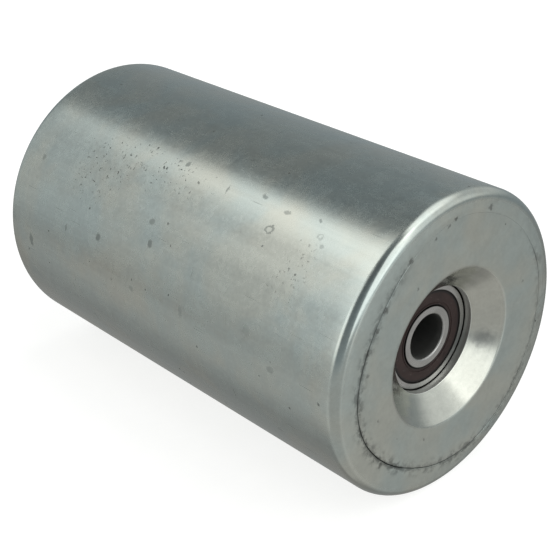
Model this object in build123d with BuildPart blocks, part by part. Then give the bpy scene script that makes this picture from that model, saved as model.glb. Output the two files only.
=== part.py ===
"""Track roller: a zinc-plated steel tube with rolled-in ends, turning on two sealed ball bearings.

The roller's axis is Y and its centre is the origin. The right end is at -Y and the left end at +Y. Every
part is a turned shape about that axis, apart from the balls, cages and rivets. Profiles are drawn in the
XY plane with X as the radius, and turned about Y. Lengths are in millimetres.
"""

import os

from build123d import *

# Roller
ROLLER_RADIUS = 66.5
ROLLER_LENGTH = 220.0
HALF_LENGTH = ROLLER_LENGTH / 2
WALL = 4.0
SHOULDER_RADIUS = 4.5
BEND_RADIUS = 0.9
RIM_HOLE_RADIUS = 54.3  # the rolled-in rim covers the end face from here outwards
RIM_EDGE_RADIUS = 0.4

# End housing, with depths measured inwards from the roller's end face
SEAM_GAP = 0.1
FACE_RADIUS = RIM_HOLE_RADIUS - SEAM_GAP
FLANGE_PLAY = 0.05
FLANGE_RADIUS = ROLLER_RADIUS - WALL - FLANGE_PLAY
PRESS_RADIUS = 1.0
BACK_BEND_RADIUS = 2.0
FACE_THICKNESS = 5.0
DISH_RADIUS = 34.9
DISH_EDGE_RADIUS = 2.5
SEAT_MOUTH_DEPTH = 9.1
SEAT_MOUTH_RADIUS = 0.6
BEARING_DEPTH = 12.5
BACK_DISH_RADIUS = 35.1
HUB_RADIUS = 27.5
HUB_ROOT_DEPTH = 11.0
HUB_EDGE_RADIUS = 1.5
STOP_LIP_RADIUS = 20.8
STOP_LIP_THICKNESS = 2.5

# Bearing: 20 mm bore, 47 mm outside, 14 mm wide, eight 5/16 inch balls
BORE_RADIUS = 10.0
BEARING_RADIUS = 23.5
BEARING_WIDTH = 14.0
HALF_WIDTH = BEARING_WIDTH / 2
RING_CHAMFER_RADIUS = 0.8
FINE_RADIUS = 0.1
EDGE_RADIUS = 0.2
PITCH_RADIUS = 16.75
BALL_RADIUS = 3.969
BALL_COUNT = 8
BALL_SPACING = 360.0 / BALL_COUNT
BALL_PLAY = 0.05
GROOVE_RADIUS = 1.04 * BALL_RADIUS
INNER_LAND_RADIUS = 14.1
INNER_LAND_HALF_WIDTH = 5.2
SEAL_TRACK_RADIUS = 13.6
OUTER_LAND_RADIUS = 19.4
RECESS_RADIUS = 20.3
SNAP_GROOVE_RADIUS = 20.9
BEARING_Y = HALF_LENGTH - BEARING_DEPTH - HALF_WIDTH

# Seal, with heights measured from the bearing's mid-plane
SEAL_INNER_HEIGHT = 5.5
SEAL_OUTER_HEIGHT = 6.7
SNAP_HEIGHT = 6.3
SEAL_PLAY = 0.05
LIP_RADIUS = SEAL_TRACK_RADIUS + SEAL_PLAY
LIP_OUTER_HEIGHT = 6.3
LIP_INNER_HEIGHT = 6.1
LIP_FACE_RADIUS = 14.1
LIP_BACK_RADIUS = 14.3
LIP_BACK_HEIGHT = 5.8
INSERT_THICKNESS = 0.4
INSERT_INNER_RADIUS = 15.3
INSERT_OUTER_RADIUS = 19.8
HINGE_GROOVE_INNER = 14.7
HINGE_GROOVE_OUTER = 15.5
HINGE_GROOVE_DEPTH = 0.3

# Cage: two pressed halves, riveted together between the balls
CAGE_INNER_RADIUS = 14.9
CAGE_OUTER_RADIUS = 18.6
CAGE_SHEET = 0.7
POCKET_PLAY = 0.13
POCKET_RADIUS = BALL_RADIUS + POCKET_PLAY
RIVET_RADIUS = 0.7
RIVET_HEAD_RADIUS = 1.15
RIVET_HEAD_HEIGHT = 0.45

# Spacer tube between the two inner rings
SPACER_BORE_RADIUS = 10.1
SPACER_RADIUS = 13.2
SPACER_CHAMFER = 0.5
SPACER_HALF_LENGTH = BEARING_Y - HALF_WIDTH

SIDES = {"right": -1, "left": 1}  # the direction along Y in which each end faces
FIRST_BALL_ANGLE = {"right": 11.0, "left": 31.0}


def save(part, name):
    part.label = name
    export_step(part, f"parts/{name}.step")


def turned(outline, radii, y=0.0, groove_x=None):
    """A ring turned about Y from a closed outline of (radius, height) points, with one rounding per corner.

    Heights are measured from the plane at y. Where groove_x is given, a ball groove centred on that radius is
    cut into the ring.
    """
    with BuildPart() as ring:
        with BuildSketch(Plane((0, y, 0), z_dir=(0, 0, 1))):
            with BuildLine():
                FilletPolyline(*outline, radius=radii, close=True)
            make_face()
            if groove_x is not None:
                with Locations((groove_x, 0)):
                    Circle(GROOVE_RADIUS, mode=Mode.SUBTRACT)
        revolve(axis=Axis.Y)
    return ring.part


def axial_plane(y, facing=1):
    """The plane square to the roller's axis at y, with its normal along facing times Y and its X along X."""
    return Plane((0, y, 0), x_dir=(1, 0, 0), z_dir=(0, facing, 0))


def shell():
    """The tube, with both ends rolled in over the end housings."""
    inner = ROLLER_RADIUS - WALL
    corners = []
    for end in (-1, 1):
        face, back = end * HALF_LENGTH, end * (HALF_LENGTH - WALL)
        rim = [
            ((inner, back), BEND_RADIUS),
            ((RIM_HOLE_RADIUS, back), 0),
            ((RIM_HOLE_RADIUS, face), RIM_EDGE_RADIUS),
            ((ROLLER_RADIUS, face), SHOULDER_RADIUS),
        ]
        corners += rim if end < 0 else rim[::-1]
    outline, radii = zip(*corners)
    return turned(outline, radii)


def end_housing(side):
    """The pressed disc that closes one end: a flange behind the rim, a flush face, a dish and a bearing seat."""
    stop_depth = BEARING_DEPTH + BEARING_WIDTH
    lip_depth = stop_depth + STOP_LIP_THICKNESS
    joggle_radius = FACE_RADIUS - WALL
    corners = [
        ((FLANGE_RADIUS, WALL), PRESS_RADIUS),
        ((FACE_RADIUS, WALL), 0),
        ((FACE_RADIUS, 0), RIM_EDGE_RADIUS),
        ((DISH_RADIUS, 0), DISH_EDGE_RADIUS),
        ((BEARING_RADIUS, SEAT_MOUTH_DEPTH), SEAT_MOUTH_RADIUS),
        ((BEARING_RADIUS, stop_depth), 0),
        ((STOP_LIP_RADIUS, stop_depth), 0),
        ((STOP_LIP_RADIUS, lip_depth), 0),
        ((HUB_RADIUS, lip_depth), HUB_EDGE_RADIUS),
        ((HUB_RADIUS, HUB_ROOT_DEPTH), BACK_BEND_RADIUS),
        ((BACK_DISH_RADIUS, FACE_THICKNESS), BACK_BEND_RADIUS),
        ((joggle_radius, FACE_THICKNESS), PRESS_RADIUS),
        ((joggle_radius, 2 * WALL), PRESS_RADIUS),
        ((FLANGE_RADIUS, 2 * WALL), PRESS_RADIUS),
    ]
    outline = [(radius, side * (HALF_LENGTH - depth)) for (radius, depth), _ in corners]
    return turned(outline, [rounding for _, rounding in corners])


def mirrored(half):
    """A full outline from its upper half, given as ((radius, height), rounding) from the bore outwards."""
    lower = [((radius, -height), rounding) for (radius, height), rounding in half]
    return zip(*(half + lower[::-1]))


def outer_ring(y):
    """The bearing's outer ring, with its ball groove and a snap groove for a seal at either face."""
    half = [
        ((OUTER_LAND_RADIUS, SEAL_INNER_HEIGHT), FINE_RADIUS),
        ((SNAP_GROOVE_RADIUS, SEAL_INNER_HEIGHT), FINE_RADIUS),
        ((SNAP_GROOVE_RADIUS, SNAP_HEIGHT), FINE_RADIUS),
        ((RECESS_RADIUS, SNAP_HEIGHT), 0),
        ((RECESS_RADIUS, HALF_WIDTH), EDGE_RADIUS),
        ((BEARING_RADIUS, HALF_WIDTH), RING_CHAMFER_RADIUS),
    ]
    outline, radii = mirrored(half)
    return turned(outline, radii, y, PITCH_RADIUS + BALL_RADIUS + BALL_PLAY - GROOVE_RADIUS)


def inner_ring(y):
    """The bearing's inner ring, with its ball groove and a seal track beside either face."""
    half = [
        ((INNER_LAND_RADIUS, INNER_LAND_HALF_WIDTH), FINE_RADIUS),
        ((SEAL_TRACK_RADIUS, INNER_LAND_HALF_WIDTH), EDGE_RADIUS),
        ((SEAL_TRACK_RADIUS, HALF_WIDTH), EDGE_RADIUS),
        ((BORE_RADIUS, HALF_WIDTH), RING_CHAMFER_RADIUS),
    ]
    outline, radii = mirrored(half)
    return turned(outline, radii, y, PITCH_RADIUS - BALL_RADIUS - BALL_PLAY + GROOVE_RADIUS)


def seal(y, facing):
    """A rubber seal that snaps into the outer ring and wipes the inner ring, on the side that facing gives."""
    insert_height = SEAL_INNER_HEIGHT + INSERT_THICKNESS
    groove_height = SEAL_OUTER_HEIGHT - HINGE_GROOVE_DEPTH
    snap_radius = SNAP_GROOVE_RADIUS - SEAL_PLAY
    face_radius = RECESS_RADIUS - 2 * SEAL_PLAY
    corners = [
        ((snap_radius, SEAL_INNER_HEIGHT), FINE_RADIUS),
        ((snap_radius, SNAP_HEIGHT), FINE_RADIUS),
        ((face_radius, SNAP_HEIGHT), 0),
        ((face_radius, SEAL_OUTER_HEIGHT), EDGE_RADIUS),
        ((HINGE_GROOVE_OUTER, SEAL_OUTER_HEIGHT), FINE_RADIUS),
        ((HINGE_GROOVE_OUTER, groove_height), FINE_RADIUS),
        ((HINGE_GROOVE_INNER, groove_height), FINE_RADIUS),
        ((HINGE_GROOVE_INNER, SEAL_OUTER_HEIGHT), FINE_RADIUS),
        ((LIP_FACE_RADIUS, SEAL_OUTER_HEIGHT), FINE_RADIUS),
        ((LIP_RADIUS, LIP_OUTER_HEIGHT), 0),
        ((LIP_RADIUS, LIP_INNER_HEIGHT), 0),
        ((LIP_BACK_RADIUS, LIP_BACK_HEIGHT), FINE_RADIUS),
        ((INSERT_INNER_RADIUS, insert_height), 0),
        ((INSERT_OUTER_RADIUS, insert_height), 0),
        ((INSERT_OUTER_RADIUS, SEAL_INNER_HEIGHT), 0),
    ]
    outline = [(radius, facing * height) for (radius, height), _ in corners]
    return turned(outline, [rounding for _, rounding in corners], y)


def seal_insert(y, facing):
    """The steel washer bonded into a seal's inner face."""
    with BuildPart() as washer:
        with BuildSketch(axial_plane(y + facing * SEAL_INNER_HEIGHT, facing)):
            Circle(INSERT_OUTER_RADIUS)
            Circle(INSERT_INNER_RADIUS, mode=Mode.SUBTRACT)
        extrude(amount=INSERT_THICKNESS)
    return washer.part


def around(facing, angle):
    """Eight places on the pitch circle of an axial plane, the first at that angle from X towards Z."""
    return PolarLocations(PITCH_RADIUS, BALL_COUNT, start_angle=-facing * angle)


def cage_half(y, facing, first_angle):
    """One pressed half of a cage: a flat band at the mid-plane with a domed pocket over each ball."""
    plane = axial_plane(y, facing)
    with BuildPart(plane) as half:
        Cylinder(CAGE_OUTER_RADIUS, CAGE_SHEET, align=(Align.CENTER, Align.CENTER, Align.MIN))
        with around(facing, first_angle):
            Sphere(POCKET_RADIUS + CAGE_SHEET)
        with BuildSketch(plane):
            Circle(CAGE_OUTER_RADIUS)
            Circle(CAGE_INNER_RADIUS, mode=Mode.SUBTRACT)
        extrude(amount=BALL_RADIUS * 2, mode=Mode.INTERSECT)
        with around(facing, first_angle):
            Sphere(POCKET_RADIUS, mode=Mode.SUBTRACT)
        with around(facing, first_angle + BALL_SPACING / 2):
            Cylinder(RIVET_RADIUS, 4 * CAGE_SHEET, mode=Mode.SUBTRACT)
    return half.part


def cage_rivets(y, first_angle):
    """The eight rivets of one cage, each a shank with a low domed head at either end."""
    dome_radius = (RIVET_HEAD_RADIUS**2 + RIVET_HEAD_HEIGHT**2) / (2 * RIVET_HEAD_HEIGHT)
    head_base = CAGE_SHEET
    head_top = head_base + RIVET_HEAD_HEIGHT
    with BuildPart() as rivet:
        with BuildSketch():
            with BuildLine():
                Polyline((0, head_top), (0, -head_top))
                for end in (-1, 1):
                    Polyline(
                        (RIVET_RADIUS, 0),
                        (RIVET_RADIUS, end * head_base),
                        (RIVET_HEAD_RADIUS, end * head_base),
                    )
                    RadiusArc(
                        (0, end * head_top),
                        (RIVET_HEAD_RADIUS, end * head_base),
                        end * dome_radius,
                    )
            make_face()
        revolve(axis=Axis.Y)
    standing = rivet.part.rotate(Axis.X, 90)
    with BuildPart(axial_plane(y)) as rivets:
        with around(1, first_angle + BALL_SPACING / 2):
            add(standing)
    return rivets.part


def ball(y, angle):
    """One ball on the bearing's pitch circle, at that angle from X towards Z."""
    centre = Vector(PITCH_RADIUS, y, 0).rotate(Axis.Y, -angle)
    with BuildPart() as sphere:
        with Locations(centre):
            Sphere(BALL_RADIUS)
    return sphere.part


def spacer_tube():
    """The tube that keeps the two inner rings apart."""
    ends = [
        ((SPACER_BORE_RADIUS, SPACER_HALF_LENGTH), 0),
        ((SPACER_RADIUS, SPACER_HALF_LENGTH), SPACER_CHAMFER),
    ]
    outline, radii = mirrored(ends)
    return turned(outline, radii)


def bearing(name, side):
    """One sealed ball bearing, piece by piece. Its outer seal faces out of the roller, its inner seal inwards."""
    y = side * BEARING_Y
    first_angle = FIRST_BALL_ANGLE[name]
    save(outer_ring(y), f"bearing_outer_ring_{name}")
    save(inner_ring(y), f"bearing_inner_ring_{name}")
    for position, facing in (("outer", side), ("inner", -side)):
        save(seal(y, facing), f"seal_{position}_{name}")
        save(seal_insert(y, facing), f"seal_insert_{position}_{name}")
        save(cage_half(y, facing, first_angle), f"cage_{position}_half_{name}")
    save(cage_rivets(y, first_angle), f"cage_rivets_{name}")
    for number in range(BALL_COUNT):
        save(ball(y, first_angle + number * BALL_SPACING), f"ball_{name}_{number + 1}")


def main():
    os.makedirs("parts", exist_ok=True)
    save(shell(), "shell")
    save(spacer_tube(), "spacer_tube")
    for name, side in SIDES.items():
        save(end_housing(side), f"end_housing_{name}")
        bearing(name, side)


main()
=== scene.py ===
"""Track roller: the visual model and its studio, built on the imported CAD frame.

The zinc tube and its two end housings are dense turned meshes with the worn, uneven seam of a
rolled-in rim. The bearings and the spacer tube keep their CAD meshes. Profiles, marks and the zinc's
textures are in millimetres; the camera and the textures of the bearings and the spacer are in metres.
Angles are in degrees, unless a comment says radians.
"""

import math

import bpy
import numpy as np
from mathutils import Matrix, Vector


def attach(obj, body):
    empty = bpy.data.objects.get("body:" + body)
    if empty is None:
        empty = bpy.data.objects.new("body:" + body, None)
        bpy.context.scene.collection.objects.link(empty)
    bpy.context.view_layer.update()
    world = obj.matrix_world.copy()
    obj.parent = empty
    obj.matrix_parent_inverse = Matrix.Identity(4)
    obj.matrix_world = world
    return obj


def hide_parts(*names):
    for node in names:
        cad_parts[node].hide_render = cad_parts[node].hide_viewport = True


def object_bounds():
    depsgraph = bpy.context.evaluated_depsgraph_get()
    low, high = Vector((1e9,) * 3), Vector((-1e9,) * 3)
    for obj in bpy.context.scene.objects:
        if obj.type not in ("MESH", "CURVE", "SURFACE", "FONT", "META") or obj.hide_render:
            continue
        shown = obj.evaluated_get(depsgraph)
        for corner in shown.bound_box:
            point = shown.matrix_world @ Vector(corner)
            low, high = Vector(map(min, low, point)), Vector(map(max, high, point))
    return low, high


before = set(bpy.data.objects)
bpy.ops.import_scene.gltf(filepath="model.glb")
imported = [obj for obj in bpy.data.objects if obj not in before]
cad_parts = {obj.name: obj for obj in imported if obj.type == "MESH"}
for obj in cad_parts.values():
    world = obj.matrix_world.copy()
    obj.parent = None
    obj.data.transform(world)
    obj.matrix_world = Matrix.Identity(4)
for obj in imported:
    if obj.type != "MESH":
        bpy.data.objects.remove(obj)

CAD_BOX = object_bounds()
MM = 0.001

# Camera: where the photograph was taken from
CAMERA_AZIMUTH = -43.24
CAMERA_ELEVATION = 27.54
CAMERA_DISTANCE = 0.5616
CAMERA_TARGET = Vector((0.0019, -0.0079, -0.00855))
CAMERA_LENS = 78.82
CAMERA_SENSOR = 36

# Turned meshes
SEGMENTS = 720
TUBE_RINGS = 30
TUBE_ARC_STEPS = 10
HOUSING_ARC_STEPS = 7
RIM_RINGS = 8
FACE_RINGS = 24
DISH_RINGS = 24
SHARP_ANGLE = 40

# Profile of the tube and end housings, in millimetres. As in the CAD model, apart from the rim's fall,
# the seam's edge and gap, and the mouth's edge
TUBE_RADIUS = CAD_BOX[1].x / MM
HALF_LENGTH = CAD_BOX[1].y / MM
WALL = 4.0
SHOULDER = 4.5
BEND = 0.9
SEAM_RADIUS = 54.3
SEAM_EDGE = 0.3
SEAM_GAP = 0.04
RIM_CREST = 57.5  # from here outwards the rim falls away a little, towards the shoulder
RIM_DROP = 0.5
CREST_BEND = 60.0
CREST_REACH = 1.7  # how far the crest's arc reaches inwards from the crest
DISH_RADIUS = 34.9
DISH_EDGE = 2.5
DISH_DEPTH = 9.1
MOUTH_EDGE = 0.25
SEAT_RADIUS = 23.5

# The hidden back of an end housing: radii, and depths from the end face
FLANGE_RADIUS = 62.45
FLANGE_BACK = 2 * WALL
PRESS_BEND = 1.0
JOGGLE_RADIUS = 50.2
PLATE_BACK = 5.0
BACK_BEND = 2.0
BACK_DISH_RADIUS = 35.1
BACK_DISH_DEPTH = 11.0
HUB_RADIUS = 27.5
HUB_DEPTH = 29.0
HUB_EDGE = 1.5
SEAT_DEPTH = 26.5
STOP_LIP_RADIUS = 20.8

# The seam's wander from its circle, as harmonics: order, size in millimetres, direction in degrees
SEAM_DRIFT = 1.4
SEAM_WANDER = ((1, 2.4, 12), (2, 0.5, -120), (3, 0.8, -136), (4, 0.8, 60))
CLOSED_DIRECTION = 78  # the seam is pressed shut about here
OPEN_DIRECTION = 225  # and gapes most about here
FAR_END_TURN = 2.2  # radians by which the far end's seam is turned from the near end's
FOLLOW_START = (44, 50)  # radii over which the plate begins to follow the seam's wander
FOLLOW_STOP = (54.8, 62)  # and over which it stops again
SEAM_YIELD = 0.22  # how much wider than SEAM_GAP the seam is at its most open
LIP = 1.1 * SEAM_EDGE  # what counts as the seam's lip
FULL_PRESS = 0.95  # how far a shut lip is pressed up to the end face, as a share of its rounding
DIRT_DEPTH = 1.5  # seam dirt shows down to this far below the end face
CLEAR_OF_SEAM = 20.0  # the distance given to points below that


def rounded(corners, steps):
    """A closed outline through (radius, height) corners, each rounded by its own amount."""
    points = []
    for i, (here, rounding) in enumerate(corners):
        here = np.array(here, float)
        if not rounding:
            points.append(here)
            continue
        back = np.array(corners[i - 1][0], float) - here
        ahead = np.array(corners[(i + 1) % len(corners)][0], float) - here
        back /= np.linalg.norm(back)
        ahead /= np.linalg.norm(ahead)
        half = math.acos(np.clip(back @ ahead, -1, 1)) / 2
        middle = back + ahead
        middle /= np.linalg.norm(middle)
        centre = here + middle * rounding / math.sin(half)
        start = here + back * rounding / math.tan(half) - centre
        end = here + ahead * rounding / math.tan(half) - centre
        sweep = math.pi - 2 * half
        for k in range(steps + 1):
            t = k / steps
            a, b = math.sin((1 - t) * sweep), math.sin(t * sweep)
            points.append(centre + (start * a + end * b) / math.sin(sweep))
    return np.array(points)


def divided(points, start, end, pieces):
    """The outline with the run between the points nearest start and end cut into equal pieces."""
    i = int(np.argmin(np.linalg.norm(points - np.array(start), axis=1)))
    j = int(np.argmin(np.linalg.norm(points - np.array(end), axis=1)))
    share = np.linspace(0, 1, pieces + 1)[1:-1, None]
    run = points[i] * (1 - share) + points[j] * share
    return np.concatenate([points[: i + 1], run, points[j:]])


def smooth(value, low, high):
    """0 below low, 1 above high, and a smooth step between them."""
    t = np.clip((value - low) / (high - low), 0, 1)
    return t * t * (3 - 2 * t)


def wobble(angle, seed, orders, size):
    """A seeded periodic wobble of the angle, in radians, with the given harmonic orders."""
    rng = np.random.default_rng(seed)
    total = np.zeros_like(angle)
    for order in orders:
        total += rng.normal() * np.cos(order * angle + rng.uniform(0, 2 * math.pi)) / math.sqrt(order)
    return total * size


def seam_shift(angle, seed):
    """How far the seam wanders from its circle, in mm: off centre, uneven, and ragged at a fine scale."""
    uneven = wobble(angle, seed, range(5, 14), 0.12)
    ragged = wobble(angle, seed + 1, range(30, 150, 3), 0.05)
    total = SEAM_DRIFT + uneven + ragged
    for order, size, direction in SEAM_WANDER:
        total = total + size * np.cos(order * angle - math.radians(direction))
    return total


def seam_open(angle, seed):
    """How open the seam is, from 0 where it is pressed shut to about 1 where the rim didn't seat."""
    shut = smooth(np.cos(angle - math.radians(CLOSED_DIRECTION)), 0.55, 0.86)
    gaping = 0.40 + 0.40 * smooth(np.cos(angle - math.radians(OPEN_DIRECTION)), -0.7, 0.5)
    uneven = gaping + wobble(angle, seed, range(3, 40, 2), 0.10)
    return np.clip((1 - shut) * uneven, 0, 1.2)


def turned(name, outline, end_seeds, inner_edge):
    """A closed outline of (radius, height) points in millimetres, turned about Y, with the uneven seam.

    inner_edge is true for the tube, whose rim lies outside the seam. The mesh stores each point's distance
    from the seam, and how open and dirty the seam is there, for the material.
    """
    angle = np.linspace(0, 2 * math.pi, SEGMENTS, endpoint=False)[:, None]
    radius = outline[None, :, 0] + np.zeros_like(angle)
    height = outline[None, :, 1] + np.zeros_like(angle)
    reach = smooth(radius, *FOLLOW_START) * (1 - smooth(radius, *FOLLOW_STOP))
    seam = np.full_like(radius, SEAM_RADIUS)
    dirt = np.zeros_like(radius)
    for side, seed in end_seeds.items():
        here = height * side > 0
        turn = angle if side < 0 else angle + FAR_END_TURN
        shift = seam_shift(turn, seed) + np.zeros_like(radius)
        gape = seam_open(turn, seed + 7) + np.zeros_like(radius)
        seam = np.where(here, SEAM_RADIUS + shift, seam)
        dirt = np.where(here, gape, dirt)
        if not inner_edge:
            shift = shift - SEAM_GAP - SEAM_YIELD * gape
        lip = (np.abs(radius - SEAM_RADIUS) < LIP) & (np.abs(height) > HALF_LENGTH - LIP)
        pressed = np.where(here & lip, FULL_PRESS * (1 - np.clip(1.2 * gape, 0, 1)), 0)
        radius = np.where(here, radius + shift * reach, radius)
        height = height + side * pressed * (HALF_LENGTH - np.abs(height))
    on_face = np.abs(height) > HALF_LENGTH - DIRT_DEPTH
    distance = np.where(on_face, np.abs(radius - seam), CLEAR_OF_SEAM)
    points = np.stack([radius * np.cos(angle), height, radius * np.sin(angle)], axis=-1)
    points = points.reshape(-1, 3) * MM
    count = outline.shape[0]
    i = np.arange(SEGMENTS)[:, None] * count
    j = np.arange(count)[None, :]
    i2 = (np.arange(SEGMENTS)[:, None] + 1) % SEGMENTS * count
    j2 = (j + 1) % count
    faces = np.stack([i + j, i + j2, i2 + j2, i2 + j], axis=-1).reshape(-1, 4)
    mesh = bpy.data.meshes.new(name)
    mesh.vertices.add(len(points))
    mesh.vertices.foreach_set("co", points.ravel())
    mesh.loops.add(faces.size)
    mesh.loops.foreach_set("vertex_index", faces.ravel())
    mesh.polygons.add(len(faces))
    mesh.polygons.foreach_set("loop_start", np.arange(len(faces)) * 4)
    mesh.update(calc_edges=True)
    mesh.validate()
    mesh.shade_smooth()
    mesh.set_sharp_from_angle(angle=math.radians(SHARP_ANGLE))
    for layer_name, values in (("seam_distance", distance), ("seam_dirt", dirt)):
        layer = mesh.attributes.new(layer_name, "FLOAT", "POINT")
        layer.data.foreach_set("value", values.ravel().astype(np.float32))
    piece = bpy.data.objects.new(name, mesh)
    bpy.context.scene.collection.objects.link(piece)
    return piece


def tube_outline():
    """The tube's section: its wall, and at each end the shoulder and the rim rolled in over the housing."""
    inner = TUBE_RADIUS - WALL
    corners = []
    for end in (-1, 1):
        face, back = end * HALF_LENGTH, end * (HALF_LENGTH - WALL)
        rim = [
            ((inner, back), BEND),
            ((SEAM_RADIUS, back), 0),
            ((SEAM_RADIUS, face), SEAM_EDGE),
            ((RIM_CREST, face), CREST_BEND),
            ((TUBE_RADIUS, face - end * RIM_DROP), SHOULDER),
        ]
        corners += rim if end < 0 else rim[::-1]
    points = rounded(corners, TUBE_ARC_STEPS)
    for end in (-1, 1):
        face = end * HALF_LENGTH
        rim_ends = [(SEAM_RADIUS + SEAM_EDGE, face), (RIM_CREST - CREST_REACH, face)]
        start, stop = rim_ends if end < 0 else rim_ends[::-1]
        points = divided(points, start, stop, RIM_RINGS)
    shoulder = HALF_LENGTH - RIM_DROP - SHOULDER
    return divided(points, (TUBE_RADIUS, -shoulder), (TUBE_RADIUS, shoulder), TUBE_RINGS)


def housing_outline(side):
    """An end housing's section: flange, flush face, dish, bearing seat and hub."""
    corners = [
        ((FLANGE_RADIUS, WALL), PRESS_BEND),
        ((SEAM_RADIUS, WALL), 0),
        ((SEAM_RADIUS, 0), SEAM_EDGE),
        ((DISH_RADIUS, 0), DISH_EDGE),
        ((SEAT_RADIUS, DISH_DEPTH), MOUTH_EDGE),
        ((SEAT_RADIUS, SEAT_DEPTH), 0),
        ((STOP_LIP_RADIUS, SEAT_DEPTH), 0),
        ((STOP_LIP_RADIUS, HUB_DEPTH), 0),
        ((HUB_RADIUS, HUB_DEPTH), HUB_EDGE),
        ((HUB_RADIUS, BACK_DISH_DEPTH), BACK_BEND),
        ((BACK_DISH_RADIUS, PLATE_BACK), BACK_BEND),
        ((JOGGLE_RADIUS, PLATE_BACK), PRESS_BEND),
        ((JOGGLE_RADIUS, FLANGE_BACK), PRESS_BEND),
        ((FLANGE_RADIUS, FLANGE_BACK), PRESS_BEND),
    ]
    points = rounded(corners, HOUSING_ARC_STEPS)
    points = divided(points, (SEAM_RADIUS - SEAM_EDGE, 0), (DISH_RADIUS + 1, 0), FACE_RINGS)
    slope = DISH_DEPTH / (DISH_RADIUS - SEAT_RADIUS)
    top, foot = DISH_RADIUS - 1.1, SEAT_RADIUS + 0.5
    wall_top = (top, (DISH_RADIUS - top) * slope)
    wall_foot = (foot, (DISH_RADIUS - foot) * slope)
    points = divided(points, wall_top, wall_foot, DISH_RINGS)
    # Spinning marks: the dish's wall isn't quite straight
    on_wall = smooth(points[:, 0], foot - 0.1, foot + 1) * (1 - smooth(points[:, 0], top - 1, top + 0.1))
    on_wall = on_wall * (points[:, 1] < (DISH_RADIUS - points[:, 0]) * slope + 1)
    ripple = 0.030 * np.sin((points[:, 0] - 27.7) * 2 * math.pi / 4.3) + 0.012 * np.sin(points[:, 0] * 5.1)
    points[:, 1] -= ripple * on_wall
    points[:, 1] = side * (HALF_LENGTH - points[:, 1])
    return points


class Graph:
    """A short way to write shader nodes: every method adds a node and returns its output socket."""

    def __init__(self, tree):
        self.tree = tree

    def node(self, kind, inputs=(), **settings):
        made = self.tree.nodes.new("ShaderNode" + kind)
        for key, value in settings.items():
            setattr(made, key, value)
        for key, value in dict(inputs).items():
            self.give(made.inputs[key], value)
        return made

    def give(self, socket, value):
        if isinstance(value, bpy.types.NodeSocket):
            self.tree.links.new(value, socket)
        else:
            socket.default_value = value

    def math(self, operation, a, b=0.0, clamp=False):
        return self.node("Math", {0: a, 1: b}, operation=operation, use_clamp=clamp).outputs[0]

    def times(self, *values):
        total = values[0]
        for value in values[1:]:
            total = self.math("MULTIPLY", total, value)
        return total

    def plus(self, *values):
        total = values[0]
        for value in values[1:]:
            total = self.math("ADD", total, value)
        return total

    def step(self, value, low, high, out_low=0.0, out_high=1.0):
        """A smooth step from out_low at low to out_high at high."""
        inputs = {"Value": value, "From Min": low, "From Max": high, "To Min": out_low, "To Max": out_high}
        return self.node("MapRange", inputs, interpolation_type="SMOOTHSTEP").outputs[0]

    def vector(self, operation, a, b=(0.0, 0.0, 0.0)):
        made = self.node("VectorMath", {0: a, 1: b}, operation=operation)
        return made.outputs["Value" if operation in ("LENGTH", "DISTANCE", "DOT_PRODUCT") else "Vector"]

    def noise(self, at, scale, detail=2.0, roughness=0.5, distortion=0.0):
        inputs = {"Vector": at, "Scale": scale, "Detail": detail}
        inputs["Roughness"] = roughness
        inputs["Distortion"] = distortion
        return self.node("TexNoise", inputs).outputs[0]

    def noise_colour(self, at, scale, detail=2.0):
        return self.node("TexNoise", {"Vector": at, "Scale": scale, "Detail": detail}).outputs[1]

    def cells(self, at, scale, randomness=1.0):
        """Voronoi cells: the distance to each cell's point, and a random colour per cell."""
        made = self.node("TexVoronoi", {"Vector": at, "Scale": scale, "Randomness": randomness})
        return made.outputs["Distance"], made.outputs["Color"]

    def mix(self, factor, a, b, blend="MIX"):
        made = self.node("Mix", data_type="RGBA", blend_type=blend)
        for key, value in ((0, factor), (6, a), (7, b)):
            self.give(made.inputs[key], value)
        return made.outputs[2]

    def split(self, vector):
        return self.node("SeparateXYZ", {0: vector}).outputs

    def join(self, x, y, z):
        return self.node("CombineXYZ", {0: x, 1: y, 2: z}).outputs[0]

    def bump(self, height, distance, strength=1.0, normal=None):
        inputs = {"Height": height, "Distance": distance, "Strength": strength}
        if normal is not None:
            inputs["Normal"] = normal
        return self.node("Bump", inputs).outputs[0]


def colour(red, green, blue):
    return (red, green, blue, 1.0)


COOL_ZINC = colour(0.385, 0.430, 0.412)
WARM_ZINC = colour(0.425, 0.438, 0.396)
SEAM_BLACK = colour(0.05, 0.052, 0.05)
KNOCK_BLACK = colour(0.07, 0.07, 0.066)
MID_GREY = colour(0.5, 0.5, 0.5)


def new_material(name, **fixed):
    """A node material: itself, its graph, its shader and the object coordinates.

    The fixed values go on the shader's own sockets.
    """
    made = bpy.data.materials.new(name)
    made.use_nodes = True
    graph = Graph(made.node_tree)
    shader = made.node_tree.nodes["Principled BSDF"]
    for key, value in fixed.items():
        shader.inputs[key.replace("_", " ")].default_value = value
    at = graph.node("TexCoord").outputs["Object"]
    return made, graph, shader, at


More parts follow.
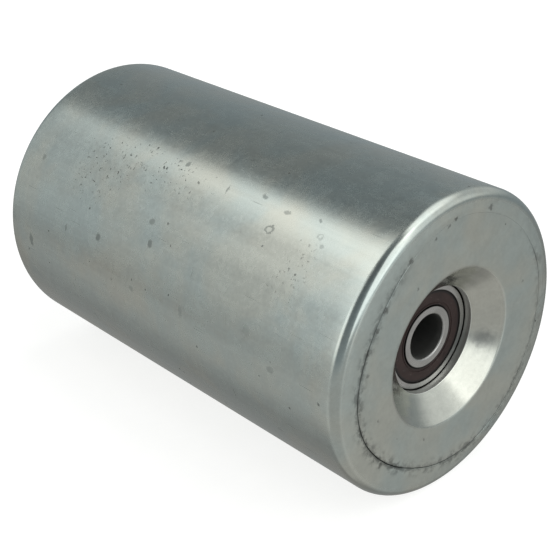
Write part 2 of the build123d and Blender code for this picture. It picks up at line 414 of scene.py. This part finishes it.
def seam_dirt(g, mm):
    """Black dirt packed in the seam and rubbed out of it on to the plate, from 0 to 1."""
    edge = g.node("Attribute", attribute_name="seam_distance").outputs["Fac"]
    gape = g.node("Attribute", attribute_name="seam_dirt").outputs["Fac"]
    reach = g.step(g.noise(mm, 0.42, 3, 0.6), 0.36, 0.64, 0.8, 2.4)
    line = g.step(g.math("DIVIDE", edge, reach), 0.10, 1.15, 1.0, 0.0)
    broken = g.step(g.noise(mm, 0.09, 3, 0.6), 0.36, 0.58, 0.36, 0.95)
    fade = g.step(edge, 0.5, 5.5, 1.0, 0.0)
    soot = g.times(fade, g.step(g.noise(mm, 0.28, 3, 0.6), 0.46, 0.66), 0.70)
    dirt = g.math("MAXIMUM", g.times(line, broken), soot)
    return g.math("MULTIPLY", dirt, g.times(gape, 1.15), clamp=True)


# Pits and knocks on both end faces: radius in mm, angle from +X towards +Z in degrees, size in mm, and
# how dark. The first nine are where the near face has them in the photograph, and the rest were added.
FACE_MARKS = (
    (58, 93, 1.8, 1.0), (59, 72, 2.2, 0.8), (55, 105, 1.6, 0.8), (42, 123, 1.4, 0.7),
    (47, 18, 1.2, 0.6), (52.5, 160, 2.6, 0.8), (56, 120, 2.6, 0.9), (54.7, 223, 2.2, 0.9),
    (52, 141, 2.6, 0.9), (56.5, 97, 1.4, 0.7), (51.5, 150, 1.6, 0.8), (50, 171, 1.5, 0.6),
    (45, 200, 1.1, 0.7), (60, 300, 1.6, 0.7), (40, 250, 1.2, 0.6),
)


def face_marks(g, mm):
    """Knocks on the end faces, ragged at their edges, from 0 to 1."""
    ragged = g.vector("SUBTRACT", g.noise_colour(mm, 0.7, 3), (0.5, 0.5, 0.5))
    x, y, z = g.split(g.vector("ADD", mm, g.vector("MULTIPLY", ragged, (3.0, 3.0, 3.0))))
    flat = g.join(x, z, 0.0)
    total = None
    for radius, angle, size, dark in FACE_MARKS:
        turn = math.radians(angle)
        off = g.vector("DISTANCE", flat, (radius * math.cos(turn), radius * math.sin(turn), 0.0))
        spot = g.step(off, 0.25 * size, 0.75 * size, dark, 0.0)
        total = spot if total is None else g.math("MAXIMUM", total, spot)
    return total


def plate(g, mm, cool, warm):
    """Zinc plate's colour and texture: clouds, blotches, fine mottle and pits."""
    cloud = g.step(g.noise(mm, 0.028, 3, 0.55, 0.4), 0.36, 0.66)
    mottle = g.noise(mm, 0.55, 4, 0.65)
    blotch = g.noise(mm, 0.11, 4, 0.6, 0.6)
    tint = g.mix(cloud, cool, warm)
    wander = g.vector("ADD", mm, g.vector("MULTIPLY", g.noise_colour(mm, 0.5), (1.3, 1.3, 1.3)))
    near, code = g.cells(wander, 0.17)
    pits = g.times(g.step(near, 0.06, 0.12, 1.0, 0.0), g.step(g.split(code)[0], 0.84, 0.88))
    near, code = g.cells(wander, 0.07)
    chips = g.times(g.step(near, 0.035, 0.075, 1.0, 0.0), g.step(g.split(code)[1], 0.84, 0.88))
    return tint, mottle, blotch, g.math("MAXIMUM", pits, chips)


def shaded(g, tint, *parts):
    """tint made lighter and darker by textures, each given as (texture, amount)."""
    terms = [g.times(g.math("SUBTRACT", texture, 0.5), amount) for texture, amount in parts]
    shade = g.plus(*terms, 1.0)
    return g.mix(1.0, tint, g.join(shade, shade, shade), "MULTIPLY")


# Marks on the tube: along the axis in mm, angle from the top towards -X in degrees, length and width in
# mm, and how dark, where 1 is usual and the smallest need more. All are where the photograph has one,
# apart from the last two stains, which were added. A ring stain is pale in its middle.
STAINS = (
    (39, 74, 3.4, 4.6, 1.1), (5, 67, 3.4, 4.4, 1.1), (8, 59, 4.5, 2.6, 0.9), (49, 65, 1.6, 1.6, 1.4),
    (60, 58, 1.3, 1.3, 1.6), (63, 77, 2.0, 3.6, 0.9), (91, 90, 3.0, 7.5, 0.95), (92, 55, 3.0, 2.6, 0.9),
    (7, 34, 2.6, 3.0, 0.7), (12, 34, 2.4, 1.8, 0.6), (-41, 34, 3.6, 2.6, 0.6), (-56, 36, 4.6, 1.6, 0.45),
    (-72, 34, 2.2, 1.8, 0.5), (-80, 42, 2.0, 2.0, 0.35), (-54, 50, 1.3, 1.1, 1.5), (-60, 79, 4.4, 5.2, 0.4),
    (52, 49, 0.9, 0.9, 1.2), (20, 50, 0.9, 0.9, 1.1), (-20, 85, 3.0, 6.0, 0.45), (-75, 88, 4.0, 3.0, 0.45),
)
RING_STAINS = ((-53, 44, 4.4, 3.8, 0.75), (-77, 39, 2.8, 2.6, 0.30))
# Patches of fine pits: along the axis in mm, angle in degrees, and reach along and around in mm
PIT_PATCHES = ((22, 41, 44, 11), (52, 48, 26, 20))
# The band where smears along the tube are strongest, in the same terms as a stain
SMEAR_BAND = (-50, 19, 120, 11)


def tube_marks(g, mm, x, y, z):
    """Marks on the tube, in its unrolled surface: how dark, how pitted and how smeared each point is."""
    arc = g.times(g.math("ARCTAN2", g.times(x, -1.0), z), TUBE_RADIUS)
    flat = g.join(y, arc, 0.0)
    ragged = g.vector("SUBTRACT", g.noise_colour(mm, 0.55, 3), (0.5, 0.5, 0.5))
    jitter = g.vector("MULTIPLY", ragged, (3.2, 3.2, 0.0))
    rough_flat = g.vector("ADD", flat, jitter)

    def away(centre_along, angle, length, width, place=rough_flat):
        centre = (centre_along, math.radians(angle) * TUBE_RADIUS, 0.0)
        scale = (2 / length, 2 / width, 0.0)
        return g.vector("LENGTH", g.vector("MULTIPLY", g.vector("SUBTRACT", place, centre), scale))

    dark = None
    for along, angle, length, width, strength in STAINS:
        spot = g.step(away(along, angle, length, width), 0.55, 1.15, strength, 0.0)
        dark = spot if dark is None else g.math("MAXIMUM", dark, spot)
    for along, angle, length, width, strength in RING_STAINS:
        off = g.math("ABSOLUTE", g.math("SUBTRACT", away(along, angle, length, width), 0.9))
        dark = g.math("MAXIMUM", dark, g.step(off, 0.10, 0.34, strength, 0.0))
    patch = g.step(g.noise(mm, 0.022, 2), 0.60, 0.72, 0.0, 0.6)
    for along, angle, length, width in PIT_PATCHES:
        within = g.step(away(along, angle, 2 * length, 2 * width, flat), 0.35, 1.1, 1.0, 0.0)
        patch = g.math("MAXIMUM", patch, within)
    near, code = g.cells(rough_flat, 0.62)
    fine = g.times(g.step(near, 0.17, 0.32, 1.1, 0.0), g.step(g.split(code)[0], 0.38, 0.58), patch)
    near, code = g.cells(rough_flat, 0.28)
    coarse = g.times(g.step(near, 0.10, 0.17, 1.3, 0.0), g.step(g.split(code)[1], 0.62, 0.72), patch)
    fine = g.math("MAXIMUM", fine, coarse)
    near, code = g.cells(rough_flat, 0.058)
    blot = g.times(g.step(near, 0.05, 0.11, 1.0, 0.0), g.step(g.split(code)[0], 0.70, 0.75), 0.5)
    near, code = g.cells(g.vector("MULTIPLY", rough_flat, (0.42, 0.055, 0.0)), 1.0)
    dash = g.times(g.step(near, 0.09, 0.17, 1.0, 0.0), g.step(g.split(code)[0], 0.86, 0.90), 0.55)
    near, code = g.cells(g.vector("MULTIPLY", flat, (0.030, 0.55, 0.0)), 1.0)
    scratch = g.times(g.step(near, 0.07, 0.15, 1.0, 0.0), g.step(g.split(code)[2], 0.91, 0.93), 0.4)
    dark = g.math("MAXIMUM", dark, g.math("MAXIMUM", blot, g.math("MAXIMUM", dash, scratch)))

    smear_at = g.vector("ADD", flat, g.vector("MULTIPLY", jitter, (0.5, 0.5, 0.0)))
    smear_at = g.vector("MULTIPLY", smear_at, (0.014, 0.16, 0.0))
    smear = g.step(g.noise(smear_at, 1.0, 4, 0.62), 0.52, 0.74)
    in_band = g.step(away(*SMEAR_BAND, flat), 0.2, 1.2, 1.0, 0.25)
    return dark, fine, g.times(smear, in_band)


def tube_zinc(name):
    """The tube's plate: satin along the tube, burnished on the rolled shoulders, matt on the end faces."""
    made, g, shader, at = new_material(name, Metallic=1.0)
    mm = g.vector("MULTIPLY", at, (1000, 1000, 1000))
    x, y, z = g.split(mm)
    radius = g.vector("LENGTH", g.join(x, 0.0, z))
    on_tube = g.step(radius, 66.1, 66.4)
    on_shoulder = g.step(radius, 61.2, 63.2)

    tint, mottle, blotch, pits = plate(g, mm, COOL_ZINC, WARM_ZINC)
    drawn = g.noise(g.vector("MULTIPLY", mm, (0.42, 0.008, 0.42)), 1.0, 3, 0.6)
    drawn = g.split(g.mix(on_tube, MID_GREY, g.join(drawn, drawn, drawn)))[0]
    tint = shaded(g, tint, (mottle, 0.26), (blotch, 0.20), (drawn, 0.16))
    dark, fine, smear = tube_marks(g, mm, x, y, z)
    dark = g.times(dark, on_tube)
    fine = g.times(fine, on_tube)
    tint = g.mix(g.times(smear, on_tube, 0.55), tint, colour(0.30, 0.275, 0.235))
    tint = g.mix(g.times(dark, 0.60), tint, colour(0.12, 0.135, 0.13))
    tint = g.mix(g.times(g.math("MAXIMUM", fine, pits), 0.70), tint, colour(0.07, 0.075, 0.07))
    dirt = seam_dirt(g, mm)
    tint = g.mix(g.times(dirt, 0.84), tint, SEAM_BLACK)
    knocks = g.times(face_marks(g, mm), g.step(radius, 62.5, 63.5, 1.0, 0.0))
    tint = g.mix(g.times(knocks, 0.7), tint, KNOCK_BLACK)
    g.give(shader.inputs["Base Color"], tint)

    finish = g.step(on_shoulder, 0.0, 1.0, 0.38, 0.17)
    rough = g.plus(
        finish,
        g.times(on_tube, 0.09),
        g.times(g.math("SUBTRACT", blotch, 0.5), 0.14),
        g.times(g.math("SUBTRACT", mottle, 0.5), 0.10),
        g.times(g.math("MAXIMUM", dark, g.math("MAXIMUM", fine, pits)), 0.25),
        g.times(dirt, 0.2),
    )
    g.give(shader.inputs["Roughness"], rough)
    height = g.plus(
        g.times(mottle, 0.40), g.times(drawn, 0.18), g.times(g.noise(mm, 1.5, 2), 0.30),
        g.times(fine, -1.2), g.times(pits, -1.5), g.times(dirt, -1.0),
    )
    g.give(shader.inputs["Normal"], g.bump(height, 0.00003, 0.45))
    return made


# Grey patches of painted dark reflection in each dish, centred at these x and z in mm
PAINTED_REFLECTION_CENTRE = (27.4, -8.0, 0.0)
SWIRL_CENTRE = (2.0, 27.0, 0.0)


def housing_zinc(name):
    """The pressed end: matt mottled zinc on its face, burnished in the dish with painted dark reflections,
    painted light on the bearing seat, grease and painted shade at its foot.
    """
    made, g, shader, at = new_material(name, Metallic=1.0)
    mm = g.vector("MULTIPLY", at, (1000, 1000, 1000))
    x, y, z = g.split(mm)
    radius = g.vector("LENGTH", g.join(x, 0.0, z))
    dish = g.step(radius, 33.8, 35.9, 1.0, 0.0)
    tint, mottle, blotch, pits = plate(g, mm, COOL_ZINC, WARM_ZINC)
    rings = g.noise(g.join(g.times(radius, 2.4), g.times(y, 2.4), 0.0), 1.0, 3, 0.6)
    rings = g.split(g.mix(dish, MID_GREY, g.join(rings, rings, rings)))[0]
    tint = g.mix(g.times(dish, 0.85), tint, colour(0.458, 0.460, 0.412))
    tint = shaded(g, tint, (mottle, 0.24), (blotch, 0.22), (rings, 0.12))
    pits = g.times(pits, g.step(radius, 36, 39))
    tint = g.mix(g.times(pits, 0.65), tint, colour(0.07, 0.07, 0.065))
    dirt = seam_dirt(g, mm)
    tint = g.mix(g.times(dirt, 0.84), tint, SEAM_BLACK)
    tint = g.mix(g.times(face_marks(g, mm), g.step(radius, 36, 39), 0.7), tint, KNOCK_BLACK)
    deep = g.math("ABSOLUTE", y)
    in_seat = g.step(radius, 23.55, 23.75, 1.0, 0.0)
    # Grease and painted shade: near-black at the seat's foot, in the corner beside the bearing
    grease_and_gap_shade = g.times(in_seat, g.step(g.plus(deep, g.times(mottle, 0.4)), 97.7, 98.2, 1.0, 0.0))
    # Painted light: the bearing seat's wall gets a pale tint so that it reads lighter
    tint = g.mix(g.times(in_seat, 0.8), tint, colour(0.66, 0.67, 0.64))
    tint = g.mix(grease_and_gap_shade, tint, colour(0.022, 0.021, 0.019))
    drift = g.times(g.math("SUBTRACT", g.noise(mm, 0.35, 3, 0.6), 0.5), 6.0)
    place = g.join(g.plus(x, drift), g.plus(z, g.times(drift, 0.8)), 0.0)
    off_painted_reflection = g.vector("SUBTRACT", place, PAINTED_REFLECTION_CENTRE)
    painted_reflection_patch = g.vector("LENGTH", g.vector("MULTIPLY", off_painted_reflection, (0.24, 0.26, 0.0)))
    off_swirl = g.vector("SUBTRACT", place, SWIRL_CENTRE)
    swirl = g.vector("LENGTH", g.vector("MULTIPLY", off_swirl, (0.07, 0.25, 0.0)))
    swirl = g.times(g.step(swirl, 0.3, 1.2, 0.6, 0.0), g.step(rings, 0.42, 0.56))
    # Painted dark reflections: grey patches in the dish where it mirrors dark surroundings
    painted_dark_reflection = g.times(dish, g.math("MAXIMUM", g.step(painted_reflection_patch, 0.25, 1.25, 0.55, 0.0), swirl))
    tint = g.mix(painted_dark_reflection, tint, colour(0.13, 0.135, 0.135))
    g.give(shader.inputs["Base Color"], tint)
    rough = g.plus(
        g.times(dish, -0.19),
        g.times(painted_dark_reflection, 0.10),
        g.times(in_seat, 0.20),
        g.times(g.math("SUBTRACT", blotch, 0.5), 0.12),
        g.times(g.math("SUBTRACT", rings, 0.5), 0.08),
        g.times(pits, 0.3),
        0.38,
    )
    g.give(shader.inputs["Roughness"], rough)
    height = g.plus(
        g.times(mottle, 0.40), g.times(g.noise(mm, 1.5, 2), 0.25), g.times(rings, 0.5),
        g.times(pits, -1.5), g.times(dirt, -1.0),
    )
    g.give(shader.inputs["Normal"], g.bump(height, 0.00003, 0.45))
    return made


def ground_steel(name, base, roughness, ring_scale, stain):
    """Ground bearing steel: grinding rings, stains, small nicks, grease and painted shade beside the seal
    and at the rim, painted shade in the bore.
    """
    made, g, shader, at = new_material(name, Metallic=1.0)
    x, y, z = g.split(at)
    radius = g.vector("LENGTH", g.join(x, 0.0, z))
    rings = g.noise(g.join(g.times(radius, ring_scale), g.times(y, ring_scale), 0.0), 1, 3, 0.6)
    cloud = g.noise(at, 180, 3, 0.6, 0.4)
    tint = g.mix(g.step(cloud, 0.35, 0.7), base, stain)
    shade = g.plus(g.times(g.math("SUBTRACT", rings, 0.5), 0.22), 1.0)
    tint = g.mix(1.0, tint, g.join(shade, shade, shade), "MULTIPLY")
    near, code = g.cells(at, 420)
    nicks = g.times(g.step(near, 0.08, 0.16, 1.0, 0.0), g.step(g.split(code)[0], 0.86, 0.9))
    tint = g.mix(g.times(nicks, 0.6), tint, colour(0.08, 0.075, 0.07))
    # Grease and painted shade: black lines in the gaps at the outer ring's outer edge and beside the seal
    rim = g.step(radius, 22.65 * MM, 23.05 * MM)
    by_seal = g.times(g.step(radius, 13.2 * MM, 13.45 * MM), g.step(radius, 20.6 * MM, 20.7 * MM, 1.0, 0.0))
    grease_and_gap_shade = g.math("MAXIMUM", rim, by_seal)
    tint = g.mix(g.times(grease_and_gap_shade, 0.95), tint, colour(0.018, 0.016, 0.014))
    # Painted shade: the bore is darkened deeper in
    bore = g.step(radius, 10.1 * MM, 10.6 * MM, 1.0, 0.0)
    bore_shade = g.times(bore, g.step(g.math("ABSOLUTE", y), 92.5 * MM, 97.2 * MM, 0.42, 0.0))
    tint = g.mix(bore_shade, tint, colour(0.035, 0.034, 0.032))
    g.give(shader.inputs["Base Color"], tint)
    rough = g.plus(
        g.times(g.math("SUBTRACT", rings, 0.5), 0.16),
        g.times(cloud, 0.08),
        g.times(bore, 0.22),
        roughness - 0.04,
    )
    g.give(shader.inputs["Roughness"], rough)
    height = g.plus(g.times(rings, 0.6), g.times(nicks, -1.0))
    g.give(shader.inputs["Normal"], g.bump(height, 0.00001, 0.5))
    return made


def polished_steel(name):
    """Ball steel: near-mirror polish with rolling haze and hairline tracks."""
    made, g, shader, at = new_material(name, Metallic=1.0)
    haze = g.noise(at, 600, 3, 0.6)
    tracks = g.noise(g.vector("MULTIPLY", at, (4000, 300, 4000)), 1, 2, 0.5)
    tint = g.mix(g.step(haze, 0.3, 0.7), colour(0.62, 0.62, 0.62), colour(0.56, 0.56, 0.55))
    g.give(shader.inputs["Base Color"], tint)
    rough = g.plus(g.times(haze, 0.06), g.times(tracks, 0.05), 0.03)
    g.give(shader.inputs["Roughness"], rough)
    g.give(shader.inputs["Normal"], g.bump(tracks, 0.000004, 0.4))
    return made


def pressed_steel(name):
    """Cage sheet: cold-rolled grain, a pressed sheen and darker blotches of grease."""
    made, g, shader, at = new_material(name, Metallic=1.0)
    grain = g.noise(g.vector("MULTIPLY", at, (900, 2600, 900)), 1, 3, 0.6)
    grease_and_gap_shade = g.step(g.noise(at, 260, 3, 0.6, 0.5), 0.48, 0.7)
    tint = g.mix(g.step(grain, 0.3, 0.7), colour(0.46, 0.45, 0.42), colour(0.56, 0.55, 0.52))
    tint = g.mix(g.times(grease_and_gap_shade, 0.55), tint, colour(0.20, 0.16, 0.10))
    g.give(shader.inputs["Base Color"], tint)
    g.give(shader.inputs["Roughness"], g.plus(g.times(grain, 0.14), g.times(grease_and_gap_shade, -0.08), 0.26))
    g.give(shader.inputs["Normal"], g.bump(grain, 0.000012, 0.5))
    return made


def seal_rubber(name):
    """Nitrile rubber: red-brown, matt, with moulding rings, fine pores, a little pale dust and painted shade
    at its edges.
    """
    made, g, shader, at = new_material(name, Metallic=0.0)
    shader.inputs["Specular IOR Level"].default_value = 0.22
    x, y, z = g.split(at)
    radius = g.vector("LENGTH", g.join(x, 0.0, z))
    rings = g.noise(g.join(g.times(radius, 3200), g.times(y, 1500), 0.0), 1, 2, 0.5)
    pores = g.noise(at, 2600, 3, 0.6)
    cloud = g.noise(at, 160, 3, 0.6)
    tint = g.mix(g.step(cloud, 0.3, 0.7), colour(0.017, 0.0095, 0.0085), colour(0.025, 0.014, 0.0125))
    near, code = g.cells(at, 900)
    dust = g.times(g.step(near, 0.10, 0.2, 1.0, 0.0), g.step(g.split(code)[0], 0.86, 0.92))
    tint = g.mix(g.times(dust, 0.35), tint, colour(0.30, 0.28, 0.26))
    worn = g.step(g.noise(at, 420, 3, 0.6), 0.55, 0.75)
    tint = g.mix(g.times(worn, 0.22), tint, colour(0.065, 0.042, 0.037))
    # Painted shade: the seal's edges next to the rings are darkened
    outer_edge = g.step(radius, 18.9 * MM, 19.7 * MM)
    edge = g.math("MAXIMUM", outer_edge, g.step(radius, 14.05 * MM, 14.5 * MM, 1.0, 0.0))
    tint = g.mix(g.times(edge, 0.9), tint, colour(0.006, 0.005, 0.005))
    g.give(shader.inputs["Base Color"], tint)
    g.give(shader.inputs["Roughness"], g.plus(g.times(pores, 0.18), g.times(worn, 0.1), 0.45))
    height = g.plus(g.times(rings, 0.5), g.times(pores, 0.5), g.times(dust, 0.5))
    g.give(shader.inputs["Normal"], g.bump(height, 0.00002, 0.5))
    return made


def drawn_steel(name):
    """Spacer tube: cold-drawn steel with long die lines and dull oxide patches."""
    made, g, shader, at = new_material(name, Metallic=1.0)
    lines = g.noise(g.vector("MULTIPLY", at, (1800, 14, 1800)), 1, 3, 0.6)
    oxide = g.step(g.noise(at, 70, 4, 0.6, 0.4), 0.45, 0.7)
    tint = g.mix(g.step(lines, 0.3, 0.7), colour(0.20, 0.20, 0.20), colour(0.27, 0.27, 0.265))
    tint = g.mix(g.times(oxide, 0.5), tint, colour(0.17, 0.15, 0.14))
    g.give(shader.inputs["Base Color"], tint)
    g.give(shader.inputs["Roughness"], g.plus(g.times(lines, 0.1), g.times(oxide, 0.18), 0.24))
    g.give(shader.inputs["Normal"], g.bump(lines, 0.00002, 0.5))
    return made


def paint(piece, made):
    piece.data.materials.clear()
    piece.data.materials.append(made)


# The tube and its two end housings, as dense turned meshes
END_SEEDS = {-1: 11, 1: 47}
SIDES = {"right": -1, "left": 1}
tube = turned("tube", tube_outline(), END_SEEDS, inner_edge=True)
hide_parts("shell")
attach(tube, "roller")
paint(tube, tube_zinc("zinc_plated_tube"))

housing_material = housing_zinc("zinc_plated_housing")
for side_name, side in SIDES.items():
    outline = housing_outline(side)
    housing = turned("housing_" + side_name, outline, {side: END_SEEDS[side]}, inner_edge=False)
    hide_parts("end_housing_" + side_name)
    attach(housing, "roller")
    paint(housing, housing_material)

# The bearings and the spacer tube keep their CAD meshes
RING_STEEL = colour(0.40, 0.395, 0.385)
RING_STAIN = colour(0.34, 0.335, 0.325)
INSERT_STEEL = colour(0.40, 0.40, 0.39)
INSERT_STAIN = colour(0.34, 0.33, 0.31)
ring_material = ground_steel("bearing_ring_steel", RING_STEEL, 0.28, 5200, RING_STAIN)
insert_material = ground_steel("seal_insert_steel", INSERT_STEEL, 0.34, 3000, INSERT_STAIN)
FINISHES = {
    "bearing_": ring_material,
    "seal_insert_": insert_material,
    "seal_": seal_rubber("nitrile_rubber"),
    "cage_": pressed_steel("cage_sheet_steel"),
    "ball_": polished_steel("ball_steel"),
    "spacer_": drawn_steel("spacer_tube_steel"),
}
for node_name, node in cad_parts.items():
    for prefix, finish in FINISHES.items():
        if node_name.startswith(prefix):
            paint(node, finish)
            break


def studio_world():
    """Soft panels round the object: each is a rectangle in azimuth and elevation with blurred edges.

    Azimuth is 0 towards -Y and grows towards +X. The panels were tuned to bring the reflections close to
    the photograph's. The camera sees a plain pale backdrop instead.
    """
    world = bpy.data.worlds.new("studio")
    bpy.context.scene.world = world
    world.use_nodes = True
    world.node_tree.nodes.clear()
    g = Graph(world.node_tree)
    x, y, z = g.split(g.vector("NORMALIZE", g.node("TexCoord").outputs["Generated"]))
    azimuth = g.math("DEGREES", g.math("ARCTAN2", x, g.times(y, -1.0)))
    elevation = g.math("DEGREES", g.math("ARCSINE", z))
    around = g.math("MODULO", g.plus(azimuth, 720.0), 360.0)

    def panel(left, right, low, high, side_blur, end_blur, strength):
        """left and right are azimuths counted up from 0 to 360."""
        return g.times(
            g.step(around, left - side_blur, left + side_blur),
            g.step(around, right - side_blur, right + side_blur, 1.0, 0.0),
            g.step(elevation, low - end_blur, low + end_blur),
            g.step(elevation, high - end_blur, high + end_blur, 1.0, 0.0),
            strength,
        )

    def low_panel(left, right, low, high, side_blur, end_blur, strength):
        """A panel across the azimuth of 0: left is negative."""
        return g.plus(
            panel(left, right, low, high, side_blur, end_blur, strength),
            panel(left + 360, right + 360, low, high, side_blur, end_blur, strength),
        )

    # Reflected by the tube
    warm = g.plus(
        panel(188, 230, 41, 66, 4, 8, 1.65),
        panel(222, 257, 24, 50, 7, 8, 1.05),
        panel(240, 266, -2, 30, 8, 9, 1.45),
        panel(186, 262, -12, 56, 5, 12, 0.29),
    )
    # Reflected by the near shoulder and the dish
    white = g.plus(
        low_panel(-25, 17, -4, 62, 5, 7, 1.62),
        low_panel(12, 30, 2, 62, 9, 8, 0.36),
        low_panel(10, 34, -22, 10, 10, 9, 0.45),
        panel(16, 62, 8, 90, 14, 10, 0.36),
        panel(14, 114, 6, 90, 14, 10, 0.38),
        panel(2, 132, 46, 100, 8, 10, 1.12),
    )
    gloom = panel(246, 316, 8, 66, 12, 8, 0.09)
    glow = g.math("SUBTRACT", g.step(elevation, 12, 55, 0.40, 0.29), gloom)
    sky = g.times(glow, g.step(elevation, -22, -4))
    # Light from below, reflected by the flat end face and the tube's underside
    table = g.plus(
        g.step(elevation, -22, -4, 0.365, 0.0),
        low_panel(-125, 30, -95, -8, 25, 9, 0.25),
        low_panel(15, 62, -62, -6, 16, 12, 0.24),
        panel(204, 262, -50, -20, 12, 10, 0.25),
    )

    def tinted(amount, tint):
        return g.vector("MULTIPLY", g.join(amount, amount, amount), tint)

    light = g.vector("ADD", tinted(warm, (1.02, 1.0, 0.96)), tinted(white, (1.0, 1.0, 0.98)))
    light = g.vector("ADD", light, tinted(sky, (0.90, 1.0, 1.05)))
    light = g.vector("ADD", light, tinted(table, (1.0, 1.0, 0.98)))
    lit = g.node("Background", {"Color": light, "Strength": 1.0}).outputs[0]
    seen = g.node("Background", {"Color": colour(0.93, 0.93, 0.93), "Strength": 1.0}).outputs[0]
    camera_ray = g.node("LightPath").outputs["Is Camera Ray"]
    shader = g.node("MixShader", {0: camera_ray, 1: lit, 2: seen}).outputs[0]
    out = g.node("OutputWorld")
    g.give(out.inputs["Surface"], shader)


FLOOR_REACH = 6.0
FLOOR_GLOW = 0.79


def studio_floor():
    """A pale, softly lit table top under the roller."""
    mesh = bpy.data.meshes.new("floor")
    level = CAD_BOX[0].z
    corners = [(x * FLOOR_REACH, y * FLOOR_REACH, level) for x, y in ((-1, -1), (1, -1), (1, 1), (-1, 1))]
    mesh.from_pydata(corners, [], [(0, 1, 2, 3)])
    floor = bpy.data.objects.new("floor", mesh)
    bpy.context.scene.collection.objects.link(floor)
    made, g, shader, at = new_material("floor_paper")
    shader.inputs["Roughness"].default_value = 0.9
    shader.inputs["Specular IOR Level"].default_value = 0.1
    fibre = g.noise(at, 60, 3, 0.6)
    tint = g.mix(g.step(fibre, 0.3, 0.7), colour(0.33, 0.33, 0.327), colour(0.35, 0.35, 0.347))
    g.give(shader.inputs["Base Color"], tint)
    shader.inputs["Emission Color"].default_value = colour(1.0, 1.0, 0.99)
    shader.inputs["Emission Strength"].default_value = FLOOR_GLOW
    paint(floor, made)
    floor.visible_glossy = False


def studio_camera():
    data = bpy.data.cameras.new("camera")
    data.lens = CAMERA_LENS
    data.sensor_width = CAMERA_SENSOR
    camera = bpy.data.objects.new("camera", data)
    bpy.context.scene.collection.objects.link(camera)
    azimuth, elevation = math.radians(CAMERA_AZIMUTH), math.radians(CAMERA_ELEVATION)
    flat = math.cos(elevation)
    back = Vector((math.sin(azimuth) * flat, -math.cos(azimuth) * flat, math.sin(elevation)))
    camera.location = CAMERA_TARGET + back * CAMERA_DISTANCE
    camera.rotation_euler = (-back).to_track_quat("-Z", "Y").to_euler()
    bpy.context.scene.camera = camera


studio_world()
studio_floor()
studio_camera()
bpy.context.scene.view_settings.view_transform = "Standard"
